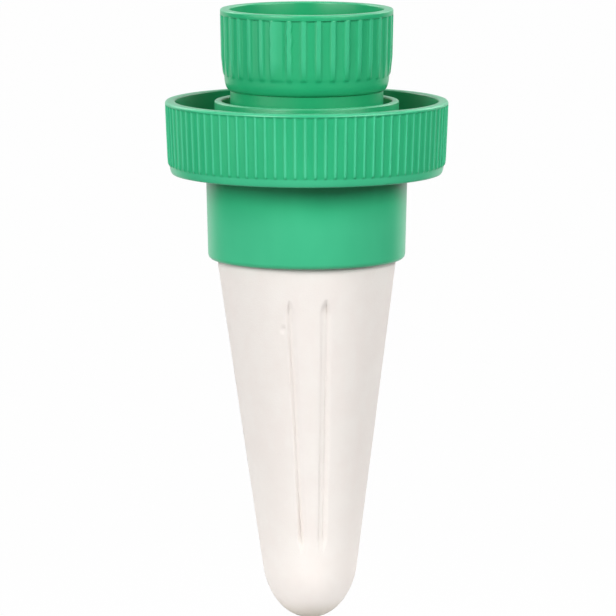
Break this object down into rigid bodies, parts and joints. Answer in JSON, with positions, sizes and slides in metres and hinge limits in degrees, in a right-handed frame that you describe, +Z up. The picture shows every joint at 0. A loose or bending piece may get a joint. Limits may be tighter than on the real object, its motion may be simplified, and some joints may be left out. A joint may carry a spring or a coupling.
{
  "type": "self watering spike",
  "caption": "Hollow clay watering cone in a moulded head with a wide bottle dish and a screw-in ribbed cup for a narrow bottle.",
  "frame": {"origin": "lowest point of the clay cone's tip, on the axis", "axes": "+Z up along the axis from the tip to the bottle cup; -Y is the front, the side with two grooves in the clay; +X to the right seen from the front"},
  "size_m": [0.0524, 0.0524, 0.114],
  "materials": {
    "porous_ceramic": "unglazed, fired, slightly rough and absorbent",
    "green_plastic": "injection moulded, satin",
    "seal_rubber": "soft, matt"
  },
  "bodies": {
    "head": {"ceramic_cone": "porous_ceramic", "cone_gasket": "seal_rubber", "watering_head": "green_plastic", "wide_bottle_washer": "seal_rubber"},
    "seal": {"neck_seal": "seal_rubber"},
    "adapter": {"bottle_adapter": "green_plastic", "narrow_bottle_washer": "seal_rubber"}
  },
  "joints": [
    {"name": "adapter_lift", "type": "slide", "parent": "head", "child": "seal", "axis": [0, 0, 1], "range_m": [0, 0.0085]},
    {"name": "adapter_turn", "type": "hinge", "parent": "seal", "child": "adapter", "pos_m": [0, 0, 0.0856], "axis": [0, 0, 1], "range_deg": [0, 1020]}
  ],
  "couplings": [
    {"joint": "adapter_lift", "follows": "adapter_turn", "m_per_rad": 0.00047746}
  ]
}
